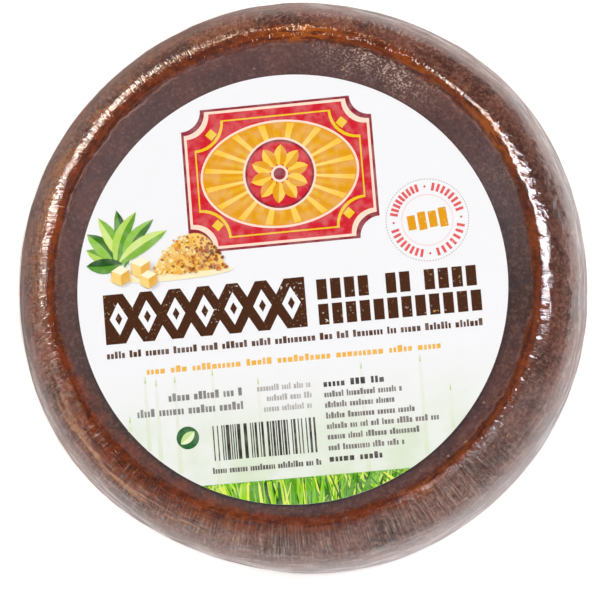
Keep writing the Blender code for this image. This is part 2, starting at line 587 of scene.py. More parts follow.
film = {
    "swell": 0.20,               # slow unevenness of the shoulder; heights and depths are in millimetres
    "folds": 0.13,
    "crumple": 0.30,
    "pebbles": 0.12,
    "crease": 0.17,
    "creaseRing": 52.3,
    "creaseHalfWidth": 0.35,
    "beads": {"count": 9, "first": -12, "step": -4.3, "ring": 54.4, "drawIn": 0.12, "radius": 0.46,
              "height": 0.24, "smooth": 1.0},
    "relief": 0.25,              # how deep the fine folds below are
    "pleatDepth": 0.30,          # and the part that each other kind has of that
    "rippleDepth": 0.22,
    "jagDepth": 0.34,
    "hoops": 0.11,               # long ripples that run along the wall
    "foldPattern": (185.0, 150.0, 4.0),   # count round the rim, fineness along the section, seed, detail
    "pleatPattern": (165.0, 260.0, 7.0, 0.0),
    "ripplePattern": (14.0, 800.0, 5.0),
    "jagPattern": (110.0, 700.0, 8.0, 0.8),
    "hoopPattern": (9.0, 750.0, 3.0),
    "gloss": 0.02,               # roughness where the film is clearest
    "dullness": 0.10,            # added to it where the film has shrunk most
    "hazeShare": 0.24,
    "edgeHazeShare": 0.85,
    "stress": 0.19,              # how white the sharpest folds have gone
    "faceTint": (0.975, 0.975, 1.0, 1.0),
    "stressTint": (1.0, 0.84, 0.70, 1.0),
    "clearTint": (0.985, 0.975, 0.965, 1.0),
    "mirror": 1.5,               # the film's two faces both reflect
    "squareOn": 0.052,           # what one face reflects, looked at straight on
    "wallLimit": 0.26,           # the most that the creased film on the wall reflects
    # leans of the film where each kind starts, is full, starts to fade, and ends
    "swellBand": (2, 25, 150, 178),
    "foldBand": (6, 14, 150, 175),
    "crumpleBand": (38, 65, 130, 160),
    "grainBand": (4, 14, 50, 75),
    "pleatBand": (3, 9, 34, 46),
    "rippleBand": (2, 8, 22, 34),
    # places round the rim: middle bearing, half spread, strength
    "foldPlaces": ((-58, 26, 1.0), (-95, 45, 0.8), (135, 60, 0.10), (-150, 45, 0.5), (20, 45, 0.08),
                   (75, 30, 0.15)),
    "crumplePlaces": ((-15, 16, 1.0), (-120, 12, 0.5), (-60, 10, 0.2)),
    "creasePlaces": ((140, 40, 0.5),),
    "grainPlaces": ((14, 34, 1.0), (-66, 14, 0.3), (170, 20, 0.5), (110, 30, 0.25), (75, 20, 0.4)),
    "pleatPlaces": ((140, 60, 1.0), (100, 30, 1.0), (52, 36, 0.4), (180, 40, 0.9), (-55, 40, 0.5),
                    (-130, 50, 0.5)),
    "dashPlaces": ((72, 44, 1.8), (185, 30, 0.8)),
    "ripplePlaces": ((150, 60, 1.0), (-140, 50, 0.8), (90, 30, 0.6)),
    "hazePlaces": ((22, 70, 0.9), (-60, 60, 0.5), (95, 40, 0.4), (-150, 50, 0.3)),
    "edgeHazePlaces": ((30, 44, 1.4), (84, 44, 1.1), (205, 40, 0.6)),
    "rimShinePlaces": ((14, 34, 1.0), (-60, 65, 1.1)),
    "shinePlaces": ((15, 34, 1.0), (144, 40, 0.35)),   # where a second layer of film lies over the first
}


def filmMaterial():
    material, tree, mirror = newMaterial("clear shrink film")
    place = objectPlace(tree)
    folded, pleated, wall, hazed = [weight(tree, name) for name in ("folds", "pleats", "wall", "haze")]
    folds, pleats, ripples, jags, hoops = [foldNoise(tree, *film[kind + "Pattern"])
                                           for kind in ("fold", "pleat", "ripple", "jag", "hoop")]
    facets = cells(tree, place, 480.0)["Distance"]
    grit = times(tree, grain(tree, place, 700.0, 3.0, 0.55), 0.8, times(tree, facets, 0.55))
    height = times(tree, grit, weight(tree, "grains"), times(tree, folds, folded))
    rippled = weight(tree, "ripples")
    for pattern, where, depth in ((pleats, pleated, "pleatDepth"), (ripples, rippled, "rippleDepth"),
                                  (jags, pleated, "jagDepth"), (hoops, wall, "hoops")):
        height = times(tree, times(tree, pattern, where), film[depth], height)

    # The film's faces: a clear mirror, duller where it has shrunk or is folded, warmer where it is stressed
    stress = times(tree, spread(tree, folds, 0.52, 0.66), folded, clamp=True)
    tint = lay(tree, film["faceTint"], film["stressTint"], stress)
    rough = spread(tree, grain(tree, place, 160.0, 3.0), 0.35, 0.7, film["gloss"], film["gloss"] * 2.0)
    rough = times(tree, hazed, film["dullness"], rough)
    rough = times(tree, folded, spread(tree, folds, 0.55, 0.68, 0.0, 0.25), rough)
    mirror.inputs["Metallic"].default_value = 1.0
    slope = finishSurface(tree, mirror, tint, rough, height, 1.0, film["relief"])

    # The share that is reflected: more at a slant, broken up by pleats and dashes, and less where folds touch
    facing = addNode(tree, "ShaderNodeLayerWeight", {"Blend": 0.5, "Normal": slope}).outputs["Facing"]
    rise = times(tree, calc(tree, "POWER", facing, 5.0), 1 - film["squareOn"], film["squareOn"])
    touching = times(tree, spread(tree, folds, 0.48, 0.36), folded, clamp=True)
    share = times(tree, rise, times(tree, weight(tree, "shine"), film["mirror"], film["mirror"]))
    for factor in (lay(tree, pureWhite, spread(tree, pleats, 0.40, 0.60, 0.35, 1.35), pleated),
                   lay(tree, pureWhite, spread(tree, jags, 0.49, 0.56, 0.0, 1.7), weight(tree, "dashes")),
                   times(tree, touching, -0.75, 1.0)):
        share = times(tree, share, factor)

    # Haze on the steep rim, stressed folds and milky hoops add to it, and the wall has a limit
    brushed = times(tree, weight(tree, "edgeHaze"), spread(tree, folds, 0.34, 0.62, 0.55, 1.35))
    milk = times(tree, brushed, film["edgeHazeShare"], times(tree, hazed, film["hazeShare"]))
    share = times(tree, milk, spread(tree, facing, 0.14, 0.50), share)
    share = times(tree, stress, film["stress"], share)
    share = times(tree, wall, spread(tree, hoops, 0.50, 0.70, 0.0, 0.10), share, clamp=True)
    most = spread(tree, hoops, 0.42, 0.62, film["wallLimit"] * 0.6 - 1, film["wallLimit"] * 1.3 - 1)
    share = calc(tree, "MINIMUM", share, times(tree, weight(tree, "upright"), most, 1.0))
    clear = addNode(tree, "ShaderNodeBsdfTransparent", {"Color": film["clearTint"]})
    both = addNode(tree, "ShaderNodeMixShader", {0: share, 1: clear.outputs[0], 2: mirror.outputs[0]})
    tree.links.new(both.outputs[0], tree.nodes["Material Output"].inputs["Surface"])
    return material


# Little round pimples in a row, where grains of sugar push the film up
def beadHeights(places, onTop):
    beads = film["beads"]
    random = Random(17)
    total = np.zeros(len(places))
    near = np.zeros(len(places))
    for index in range(beads["count"]):
        turn = radians(beads["first"] + beads["step"] * index + random.uniform(-1.0, 1.0))
        ring = beads["ring"] - index * beads["drawIn"] + random.uniform(-0.2, 0.2)
        away = np.hypot(places[:, 0] / mm - ring * cos(turn), places[:, 1] / mm - ring * sin(turn))
        total += beads["height"] * np.exp(-(away / beads["radius"]) ** 2) * onTop
        near = np.maximum(near, np.exp(-(away / beads["smooth"]) ** 4) * onTop)
    return total, near


def makeFilm(line):
    wrap = newPiece("shrinkFilm", turnSection(line), filmMaterial())
    places = points(wrap.data)
    across, level, bearing, lean, down, out, up = readSection(places)
    onTop = level > section["topOnly"]

    def around(name, most=None):
        return weightAround(bearing, film[name + "Places"], most)

    foldWeight = around("fold") * band(lean, *film["foldBand"]) * (1 - 0.6 * smoothRise(lean, 30, 60))
    crumpleWeight = around("crumple") * band(lean, *film["crumpleBand"])
    grainWeight = around("grain") * band(lean, *film["grainBand"])
    swell = noiseAround(bearing, down, 5.0, 0.05, 11) * film["swell"] * band(lean, *film["swellBand"])
    folds = noiseAround(bearing, down, 60.0, 0.10, 12) * film["folds"] * foldWeight
    crumple = -np.abs(noiseAt(places / mm, 1 / 2.2, 13)) * film["crumple"] * crumpleWeight
    pebbles = noiseAt(places / mm, 1 / 1.9, 16) * film["pebbles"] * grainWeight
    beads, smoothed = beadHeights(places, onTop)
    amount = rimSwell(bearing, lean) + swell + crumple + beads + (folds + pebbles) * (1 - smoothed)
    moved = fitToBlock(shiftOut(places, bearing, out, up, amount), 0.0, lean)
    wander = noiseAround(bearing, down, 7.0, 0.0, 14) * 1.3 + noiseAround(bearing, down, 30.0, 0.0, 15) * 0.4
    ridge = np.exp(-((across - film["creaseRing"] - wander) / film["creaseHalfWidth"]) ** 2) * onTop
    moved[:, 2] += ridge * film["crease"] * around("crease") * mm
    setPoints(wrap.data, moved)
    foldWeight = (0.10 + foldWeight) * smoothRise(lean, 4, 15) * (1 - 0.75 * smoothRise(lean, 36, 60))
    shoulder = band(lean, *film["pleatBand"])
    hazy = smoothRise(lean, 38, 66) * (1 - 0.5 * smoothRise(lean, 72, 90))
    addWeights(wrap.data, folds=foldWeight * (1 - smoothed), wall=smoothRise(lean, 32, 55),
               grains=(0.08 + grainWeight * 0.6 + crumpleWeight) * (1 - smoothed),
               shine=(1 - smoothRise(lean, 32, 44)) * around("shine"),
               upright=smoothRise(lean, 38, 50) * (1 - 0.14 * around("rimShine", 1)),
               pleats=around("pleat", 1) * shoulder, dashes=around("dash", 1) * shoulder,
               ripples=band(lean, *film["rippleBand"]) * around("ripple"),
               haze=hazy * around("haze", 1), edgeHaze=smoothRise(lean, 56, 70) * around("edgeHaze"))
    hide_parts("wrapped_block")
    return wrap


line = sectionLine()
block = makeBlock(line)
print("sugar block made:", len(block.data.polygons), "faces")
wrap = makeFilm(line)
print("film made:", len(wrap.data.polygons), "faces")


# The label

paper = {
    "thickness": 0.10,            # millimetres, as are all sizes of the print
    "lift": 0.30,                 # the gap under it, where the film is not quite flat
    "white": paint(240, 245, 252),
    "washGreen": paint(213, 230, 206),
    "printStep": 0.012,           # each layer of print lies this much higher
    "printThickness": 0.008,
    "stack": 0.05,                # the share of a layer between marks that lie across each other
    "washFrom": -14,              # the green wash grows downwards between these two places
    "washTo": -42,
    "tooth": 4200.0,
    "relief": 0.02,
}
paperTop = blockHigh.z / mm + paper["lift"] + paper["thickness"]


def paperMaterial():
    material, tree, surface = newMaterial("coated label paper")
    place = objectPlace(tree)
    tooth = useGroup(tree, paperGroup, Scale=paper["tooth"])
    foot, start = [labelCenter.y + paper[end] * mm for end in ("washTo", "washFrom")]
    lower = spread(tree, split(tree, place)[1], foot, start, 1.0, 0.0)
    patchy = spread(tree, grain(tree, place, 110.0, 3.0), 0.3, 0.7, 0.35, 1.0)
    color = lay(tree, paper["white"], paper["washGreen"], lower, patchy)
    rough = spread(tree, tooth["Mottle"], 0.3, 0.7, 0.38, 0.5)
    finishSurface(tree, surface, color, rough, tooth["Tooth"], 0.12, paper["relief"])
    return material


def makePaper():
    bm = bmesh.new()
    bmesh.ops.create_circle(bm, cap_ends=True, segments=256, radius=labelRadius * mm)
    top = bmesh.ops.extrude_face_region(bm, geom=bm.faces[:])
    raised = [part for part in top["geom"] if isinstance(part, bmesh.types.BMVert)]
    bmesh.ops.translate(bm, verts=raised, vec=(0, 0, paper["thickness"] * mm))
    bmesh.ops.recalc_face_normals(bm, faces=bm.faces[:])
    foot = (paperTop - paper["thickness"]) * mm
    bmesh.ops.translate(bm, verts=bm.verts[:], vec=(labelCenter.x, labelCenter.y, foot))
    disc = newPiece("labelPaper", bm, paperMaterial())
    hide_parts("label")


makePaper()
print("label paper made")


# The print: flat marks, laid out in millimetres about the label's middle

print("laying out the print")
artworkRadius = 47.75            # the label that the layout below was drawn for
inkRed = paint(206, 26, 46)
inkDarkRed = paint(140, 30, 52)
inkPalePink = paint(255, 222, 205)
inkOrange = paint(226, 158, 10)
inkYellow = paint(238, 200, 22)
inkBrown = paint(70, 36, 13)
inkBlack = paint(52, 48, 46)
inkBare = paint(236, 232, 226)
inkBareWarm = paint(214, 166, 96)
inkShine = 0.2


def openSheet():
    sheet = bmesh.new()
    sheet.loops.layers.float_color.new("ink")
    return sheet


# A color is one paint, or a function of the place on the label
def inkFaces(sheet, faces, color):
    ink = sheet.loops.layers.float_color["ink"]
    for face in faces:
        for loop in face.loops:
            loop[ink] = color(loop.vert.co.x, loop.vert.co.y) if callable(color) else color


def printShape(sheet, outline, color, layer=0):
    corners = [sheet.verts.new((x, y, layer)) for x, y in outline]
    inkFaces(sheet, [sheet.faces.new(corners)], color)


def layFlat(center, layer, turn, wide, tall):
    return (Matrix.Translation((*center, layer)) @ Matrix.Rotation(radians(turn), 4, "Z")
            @ Matrix.Diagonal((wide, tall, 1.0, 1.0)))


def printDisc(sheet, center, radius, color, layer=0, squash=1.0, turn=0.0, segments=40):
    made = bmesh.ops.create_circle(sheet, cap_ends=True, segments=segments, radius=radius,
                                   matrix=layFlat(center, layer, turn, 1.0, squash))
    inkFaces(sheet, {face for vert in made["verts"] for face in vert.link_faces}, color)


def printBar(sheet, center, width, height, color, layer=0, turn=0.0):
    made = bmesh.ops.create_grid(sheet, x_segments=1, y_segments=1, size=0.5,
                                 matrix=layFlat(center, layer, turn, width, height))
    inkFaces(sheet, {face for vert in made["verts"] for face in vert.link_faces}, color)


def onCircle(center, radius, turn, squash=1.0):
    return (center[0] + radius * cos(turn), center[1] + radius * squash * sin(turn))


def printDiamond(sheet, x, y, halfWidth, halfHeight, color, layer):
    outline = [(x - halfWidth, y), (x, y - halfHeight), (x + halfWidth, y), (x, y + halfHeight)]
    printShape(sheet, outline, color, layer)


def blend(first, second, part):
    return tuple(a + (b - a) * part for a, b in zip(first, second))


def printRing(sheet, center, radius, width, color, layer=0, dashes=0, share=1.0, segments=96):
    count = dashes or segments
    fill = share if dashes else 1.0
    for step in range(count):
        start = 2 * pi * step / count
        end = start + 2 * pi * fill / count
        outline = [onCircle(center, radius + side * width / 2, turn)
                   for side, turn in ((-1, start), (1, start), (1, end), (-1, end))]
        printShape(sheet, outline, color, layer)


# A pointed leaf in two halves, bent sideways by bend times its length
def printLeaf(sheet, base, tip, width, light, dark, layer=0, bend=0.0):
    base, tip = Vector(base), Vector(tip)
    along = tip - base
    side = Vector((-along.y, along.x)).normalized()
    steps = 7

    def onLeaf(part, offset):
        swing = side * (bend * along.length * sin(pi * part))
        return tuple(base + along * part + swing + side * (offset * width / 2 * sin(pi * part) ** 0.75))

    middle = [onLeaf(step / steps, 0.0) for step in range(steps + 1)]
    for offset, color in ((1.0, light), (-1.0, dark)):
        edge = [onLeaf(step / steps, offset) for step in range(steps - 1, 0, -1)]
        printShape(sheet, middle + edge if offset < 0 else (middle + edge)[::-1], color, layer)


def closeSheet(name, sheet, material):
    scale = labelRadius / artworkRadius
    for vert in sheet.verts:
        rise = paper["printStep"] * (vert.co.z + 1)
        vert.co = Vector((labelCenter.x + vert.co.x * scale * mm, labelCenter.y + vert.co.y * scale * mm,
                          (paperTop + rise) * mm))
    sheet.normal_update()
    bmesh.ops.reverse_faces(sheet, faces=[face for face in sheet.faces if face.normal.z < 0])
    piece = newPiece(name, sheet, material)
    body = piece.modifiers.new("ink film", "SOLIDIFY")
    body.thickness = paper["printThickness"] * mm
    body.offset = -1.0


def inkMaterial():
    material, tree, surface = newMaterial("printed ink")
    tooth = useGroup(tree, paperGroup, Scale=paper["tooth"])
    thin = spread(tree, tooth["Mottle"], 0.35, 0.70, 0.0, 0.10)
    color = lay(tree, weight(tree, "ink", "Color"), pureWhite, thin)
    rough = spread(tree, tooth["Tooth"], 0.3, 0.7, 0.34, 0.46)
    finishSurface(tree, surface, color, rough, tooth["Tooth"], 0.1, paper["relief"], inkShine)
    return material


# Brown ink from a worn block: bare flecks of paper and a little amber show through
def wornInkMaterial():
    material, tree, surface = newMaterial("worn brown ink")
    tooth = useGroup(tree, paperGroup, Scale=paper["tooth"])
    place = objectPlace(tree)
    flecks = spread(tree, grain(tree, place, 1500.0, 4.0, 0.65), 0.60, 0.66)
    patches = spread(tree, grain(tree, place, 160.0, 3.0, 0.5), 0.46, 0.62, 0.06, 1.0)
    bare = times(tree, flecks, patches)
    under = lay(tree, inkBare, inkBareWarm, spread(tree, grain(tree, place, 500.0, 2.0), 0.52, 0.60))
    color = lay(tree, weight(tree, "ink", "Color"), under, bare)
    rough = spread(tree, tooth["Tooth"], 0.3, 0.7, 0.36, 0.5)
    finishSurface(tree, surface, color, rough, bare, 0.15, paper["relief"], inkShine)
    return material


printedInk = inkMaterial()
wornInk = wornInkMaterial()

emblem = {
    "center": (-0.5, 25.6),
    "width": 42.6,
    "height": 32.0,
    "notch": 4.6,
    "bands": ((0.0, inkDarkRed), (0.55, inkPalePink), (1.15, inkRed), (2.75, inkYellow), (3.1, inkRed)),
    "sun": (17.2, 11.6),          # half width, half height
    "sunEdge": 0.5,
    "rays": 32,
    "rayInner": paint(255, 240, 150),
    "rayOuter": paint(252, 196, 44),
    "rosette": ((8.2, inkPalePink), (7.7, inkDarkRed), (7.2, inkRed)),
    "petals": 10,
    "petalEnds": (1.6, 6.6),
    "petalWidth": 2.9,
    "petalLight": paint(255, 206, 70),
    "button": ((1.9, inkPalePink), (1.35, inkDarkRed)),
    "studs": (14.6, 10.2, 1.9),   # how far across, how far up, and size
}


# A plaque whose corners are scooped out by quarter circles
def scoopedPlaque(center, width, height, notch, inset):
    halfWidth, halfHeight = width / 2 - inset, height / 2 - inset
    scoop = notch + inset * 0.6
    outline = []
    for corner, (signX, signY) in enumerate(((1, 1), (-1, 1), (-1, -1), (1, -1))):
        middle = (center[0] + signX * halfWidth, center[1] + signY * halfHeight)
        first = radians(270 + 90 * corner)
        for step in range(9):
            outline.append(onCircle(middle, scoop, first - pi / 2 * step / 8))
    return outline


def printEmblem(sheet):
    center = emblem["center"]
    for layer, (inset, color) in enumerate(emblem["bands"]):
        outline = scoopedPlaque(center, emblem["width"], emblem["height"], emblem["notch"], inset)
        printShape(sheet, outline, color, layer)
    wide, tall = emblem["sun"]

    def fromMiddle(x, y):
        return min(1.0, hypot((x - center[0]) / wide, (y - center[1]) / tall))

    def sunGlow(x, y):
        return blend(inkYellow, inkOrange, fromMiddle(x, y))

    def rayGlow(x, y):
        return blend(emblem["rayInner"], emblem["rayOuter"], fromMiddle(x, y))

    layer = len(emblem["bands"])
    for edge, color in ((emblem["sunEdge"], inkPalePink), (0.0, inkOrange)):
        printDisc(sheet, center, wide + edge, color, layer, (tall + edge) / (wide + edge), segments=96)
        layer += 1
    half = pi / emblem["rays"] * 0.5
    for ray in range(emblem["rays"]):
        turn = 2 * pi * ray / emblem["rays"]
        tip = [onCircle(center, wide * 0.98, turn + side * half, tall / wide) for side in (-1, 1)]
        printShape(sheet, [center, *tip], rayGlow if ray % 2 else sunGlow, layer)
    for radius, color in emblem["rosette"]:
        layer += 1
        printDisc(sheet, center, radius, color, layer)
    layer += 1
    for petal in range(emblem["petals"]):
        turn = 2 * pi * petal / emblem["petals"] + 0.2
        base, tip = [onCircle(center, reach, turn) for reach in emblem["petalEnds"]]
        printLeaf(sheet, base, tip, emblem["petalWidth"], emblem["petalLight"], inkOrange,
                  layer + petal * paper["stack"])
    for radius, color in emblem["button"]:
        layer += 1
        printDisc(sheet, center, radius, color, layer)
    across, up, size = emblem["studs"]
    for signX in (-1, 1):
        for signY in (-1, 1):
            spot = (center[0] + signX * across, center[1] + signY * up)
            printBar(sheet, spot, size, size, inkYellow, len(emblem["bands"]), 45)


harvest = {
    "root": (-37.0, 8.5),
    "leaves": ((-45.0, 12.6), (-44.6, 16.2), (-41.8, 19.6), (-37.6, 21.0), (-33.2, 20.2), (-29.4, 18.2),
               (-26.6, 15.4), (-45.2, 9.0)),
    "greens": ((paint(176, 216, 92), paint(96, 156, 44)), (paint(140, 196, 72), paint(58, 116, 34)),
               (paint(206, 232, 134), paint(126, 182, 62)), (paint(88, 150, 50), paint(30, 84, 26))),
    "cubes": ((-37.6, 7.4, 4.0), (-33.0, 8.9, 4.2), (-31.4, 5.9, 3.6)),
    "heap": (-22.0, 5.6, 8.0, 8.4),        # middle of its foot, half width, height
    "heapGrains": 330,
    "plate": paint(250, 238, 196),
    "mound": paint(244, 206, 104),
    "crumbs": (paint(252, 236, 176), paint(240, 186, 66), paint(214, 136, 36), paint(168, 88, 22),
               paint(120, 56, 14)),
    "cubeLeft": paint(246, 214, 128),
    "cubeRight": paint(228, 176, 70),
    "cubeTop": paint(255, 246, 214),
}


def printCube(sheet, x, y, size, layer):
    half, rise, drop = size / 2, size * 0.27, size * 0.62
    for side, tone in ((-1, "cubeLeft"), (1, "cubeRight")):
        face = [(x + side * half, y), (x, y - rise), (x, y - rise - drop), (x + side * half, y - drop)]
        printShape(sheet, face, harvest[tone], layer)
    printDiamond(sheet, x, y, half, rise, harvest["cubeTop"], layer)


def printHarvest(sheet):
    random = Random(8)
    root = harvest["root"]
    for index, tip in enumerate(harvest["leaves"]):
        light, dark = harvest["greens"][index % len(harvest["greens"])]
        start = (root[0] + random.uniform(-1.5, 3.0), root[1] + random.uniform(-1.0, 1.0))
        width = random.uniform(3.0, 3.9)
        printLeaf(sheet, start, tip, width, light, dark, index, random.uniform(-0.12, 0.12))
    base = len(harvest["leaves"])
    x, y, half, height = harvest["heap"]
    printDisc(sheet, (x - 4.5, y - 0.1), 14.0, harvest["plate"], base, 0.10)
    mound = [(x + half * cos(turn), y + height * sin(turn) ** 1.4 * (1 - 0.10 * cos(turn * 3)))
             for turn in (pi * step / 20 for step in range(21))]
    printShape(sheet, mound, harvest["mound"], base + 1)
    for index in range(harvest["heapGrains"]):
        turn = pi * random.random()
        out = random.random() ** 0.6
        spot = (x + half * out * cos(turn) * 1.04, y + height * out * sin(turn) ** 1.3)
        tone = 2.2 + (spot[0] - x) / half * 1.6 + random.gauss(0, 0.9)
        color = harvest["crumbs"][int(min(4, max(0, tone)))]
        printDisc(sheet, spot, random.uniform(0.22, 0.48), color, base + 2 + index * paper["stack"],
                  random.uniform(0.6, 1.0), random.uniform(0, 180), 6)
    for index, (cubeX, cubeY, size) in enumerate(harvest["cubes"]):
        printCube(sheet, cubeX, cubeY, size, base + 20 + index)


seal = {
    "center": (31.2, 12.2),
    "rimRadius": 9.1,
    "innerRadius": 5.65,
    "markRadius": 7.45,
    "markHeight": 1.75,
    "markWidth": 0.62,
    "quarterMarks": (8, 9, 8, 7),
    "quarterStart": 14,           # where the marks of each quarter start, in degrees
    "quarterSpan": 62,            # and how far round they run
    "bars": ((-3.5, 3.2), (-1.15, 4.0), (1.2, 3.6), (3.5, 4.3)),
    "barWidth": 1.75,
    "gray": paint(176, 168, 168),
    "pink": paint(244, 200, 204),
    "rose": paint(226, 92, 96),
}


def printSeal(sheet):
    center, ring = seal["center"], seal["markRadius"]
    printRing(sheet, center, seal["rimRadius"], 0.16, seal["gray"], 0, 90, 0.55)
    printRing(sheet, center, seal["innerRadius"], 0.14, seal["pink"], 0)
    for quarter, marks in enumerate(seal["quarterMarks"]):
        for mark in range(marks):
            bearing = 90 * quarter + seal["quarterStart"] + seal["quarterSpan"] * mark / (marks - 1)
            spot = onCircle(center, ring, radians(bearing))
            printBar(sheet, spot, seal["markHeight"], seal["markWidth"], seal["rose"], 0, bearing)
        printDisc(sheet, onCircle(center, ring, radians(90 * quarter)), 0.26, seal["rose"], 0, segments=10)
    for offset, height in seal["bars"]:
        spot = (center[0] + offset, center[1] + offset * 0.10)
        printBar(sheet, spot, seal["barWidth"], height, inkOrange, 0, 5)


# A brown ribbon with a row of cut-out lozenges, and two rows of plain blocks beside it
title = {
    "ribbon": (-42.0, 3.0, -8.9, 2.2),         # left, right, low, high
    "lozenges": 7,
    "blockRows": ((1.3, 4.5, ((5.6, 4), (20.9, 2), (29.4, 4))),     # top, height, (start, count) of each word
                  (-4.2, 4.6, ((5.6, 12),))),
    "blockPitch": 3.06,
    "blockWidth": 2.25,
}


def printRibbon(sheet):
    left, right, low, high = title["ribbon"]
    middle = (low + high) / 2
    tall = (high - low) * 0.33
    pitch = (right - left) / title["lozenges"]
    printBar(sheet, ((left + right) / 2, middle), right - left, high - low, inkBrown, 0)
    for index in range(title["lozenges"]):
        x = left + pitch * (index + 0.5)
        printDiamond(sheet, x, middle, pitch * 0.32, tall, paper["white"], 1)
        printDiamond(sheet, x, middle, pitch * 0.12, tall * 0.38, inkBrown, 2)
    for index in range(1, title["lozenges"]):
        x = left + pitch * index
        for edge, into in ((low, 1), (high, -1)):
            notch = [(x - pitch * 0.30, edge), (x + pitch * 0.30, edge), (x, edge + into * 3.3)]
            printShape(sheet, notch, paper["white"], 1)


def printBlocks(sheet):
    width = title["blockWidth"]
    for top, height, words in title["blockRows"]:
        for start, count in words:
            for index in range(count):
                x = start + index * title["blockPitch"] + width / 2
                printBar(sheet, (x, top - height / 2), width, height, inkBrown, 0)


# Lines that only hint at small print: words of plain upright ticks
smallLines = (
    # height, tick width and paint of each kind, and then left, right and foot of its lines
    (1.55, 0.62, paint(84, 50, 30), ((-42.0, 42.3, -12.1),)),
    (1.45, 0.80, paint(238, 182, 62), ((-33.4, 33.4, -16.3),)),
    (1.75, 0.62, paint(128, 128, 126), ((-29.0, -12.6, -22.7), (-36.2, -12.3, -25.7))),
    (1.35, 0.42, paint(176, 174, 174), ((-9.3, 2.9, -22.2), (-7.3, 2.9, -24.5), (-8.1, 2.9, -26.8))),
    (1.45, 0.78, paint(62, 58, 56), ((5.4, 19.6, -22.5),)),
    (1.35, 0.44, paint(118, 114, 112), ((5.4, 22.6, -24.8), (5.4, 20.6, -27.1), (5.4, 25.6, -29.5),
                                        (5.4, 30.2, -31.8), (5.4, 25.6, -34.1), (5.4, 22.4, -36.5))),
    (1.45, 0.78, paint(62, 58, 56), ((5.4, 17.6, -39.0),)),
    (1.35, 0.40, paint(92, 90, 88), ((-20.4, 3.6, -39.4),)),
)


def printSmallLine(sheet, left, right, foot, height, width, color, seed):
    random = Random(seed)
    x = left
    word = random.randint(4, 9)
    while x + width < right:
        tall = height * random.choice((0.72, 0.72, 0.72, 1.0))
        wide = width * random.choice((0.75, 1.0, 1.25))
        printBar(sheet, (x + wide / 2, foot + tall / 2), wide, tall, color, 1)
        x += wide + width * 0.42
        word -= 1
        if word == 0:
            x += width * 1.3
            word = random.randint(3, 10)


def printSmallLines(sheet):
    seed = 0
    for height, width, color, lines in smallLines:
        for left, right, foot in lines:
            seed += 1
            printSmallLine(sheet, left, right, foot, height, width, color, seed)


stripes = {"left": -19.8, "right": 2.9, "foot": -36.6, "height": 7.7, "module": 0.245}


def printStripes(sheet):
    random = Random(31)
    x, module, height = stripes["left"], stripes["module"], stripes["height"]
    while x < stripes["right"] - module:
        wide = min(module * random.choice((1, 1, 2, 2, 3)), stripes["right"] - x)
        printBar(sheet, (x + wide / 2, stripes["foot"] + height / 2), wide, height, inkBlack, 1)
        x += wide + module * random.choice((1, 1, 2, 3))


dotMark = {
    "center": (-25.4, -31.0),
    "radius": 2.5,
    "green": paint(24, 96, 36),
    "leaf": ((-27.0, -32.3), (-23.8, -29.7), 2.2, paint(196, 226, 150), paint(228, 242, 204)),
}


def printDotMark(sheet):
    printDisc(sheet, dotMark["center"], dotMark["radius"], dotMark["green"], 1)
    printLeaf(sheet, *dotMark["leaf"], 2)


grass = {
    "top": -41.8,
    "stripes": 260,
    "turf": paint(104, 178, 34),
    "tones": (paint(150, 214, 40), paint(190, 232, 70), paint(226, 240, 96), paint(84, 158, 26),
              paint(48, 118, 22), paint(22, 78, 18), paint(120, 196, 30)),
    "faintBlades": ((-34.0, -16.6), (-31.6, -17.4), (-27.4, -17.0), (-19.0, -16.2), (-9.0, -19.0),
                    (13.9, -17.6), (26.9, -17.2), (33.0, -24.0), (-38.0, -25.0)),
    "faintFoot": paint(218, 232, 210),
    "faintTip": paint(234, 240, 242),
    "faintSpike": paint(176, 212, 120),
}


def labelFoot(x):
    return -sqrt(max(0.0, (artworkRadius - 0.05) ** 2 - x * x))


def printGrass(sheet):
    random = Random(5)
    half = sqrt(artworkRadius ** 2 - grass["top"] ** 2) - 0.1
    arc = [(half * cos(pi * step / 40), labelFoot(half * cos(pi * step / 40))) for step in range(41)]
    printShape(sheet, [(x, min(y, grass["top"])) for x, y in arc], grass["turf"], 0)
    tones = grass["tones"]
    for index in range(grass["stripes"]):
        x = random.uniform(-half, half)
        lean = random.gauss(0.0, 0.8) * (1.0 if x < 2 else 2.2)
        width = random.uniform(0.12, 0.5)
        top = grass["top"] - random.uniform(0.0, 1.6) * random.random()
        foot = [x - width, x + width]
        tip = [x + lean + width * 0.5, x + lean - width * 0.5]
        if max(map(abs, foot + tip)) > half:
            continue
        outline = [(edge, labelFoot(edge)) for edge in foot] + [(edge, top) for edge in tip]
        tone = random.choice(tones[:4] if x < -2 and random.random() < 0.7 else tones)
        printShape(sheet, outline, tone, 1 + index * paper["stack"])
    for x, top in grass["faintBlades"]:
        foot = max(grass["top"], labelFoot(x) + 0.3)

        def fade(px, py, low=foot, high=top):
            return blend(grass["faintFoot"], grass["faintTip"], (py - low) / (high - low))

        printShape(sheet, [(x - 0.55, foot), (x + 0.45, foot), (x + 0.32, top), (x - 0.25, top)], fade, 0)
        spike = [(x - 0.12, top - 1.6), (x + 0.24, top - 1.6), (x + 0.1, top)]
        printShape(sheet, spike, grass["faintSpike"], 0.5)


prints = {
    "labelEmblem": (printEmblem, printedInk),
    "labelHarvest": (printHarvest, printedInk),
    "labelSeal": (printSeal, wornInk),
    "labelRibbon": (printRibbon, wornInk),
    "labelBlocks": (printBlocks, wornInk),
    "labelSmallLines": (printSmallLines, printedInk),
    "labelStripes": (printStripes, printedInk),
    "labelDotMark": (printDotMark, printedInk),
    "labelGrass": (printGrass, printedInk),
}
for name, (printPart, ink) in prints.items():
    sheet = openSheet()
    printPart(sheet)
    closeSheet(name, sheet, ink)
    print("printed:", name)


# Floor, light and camera

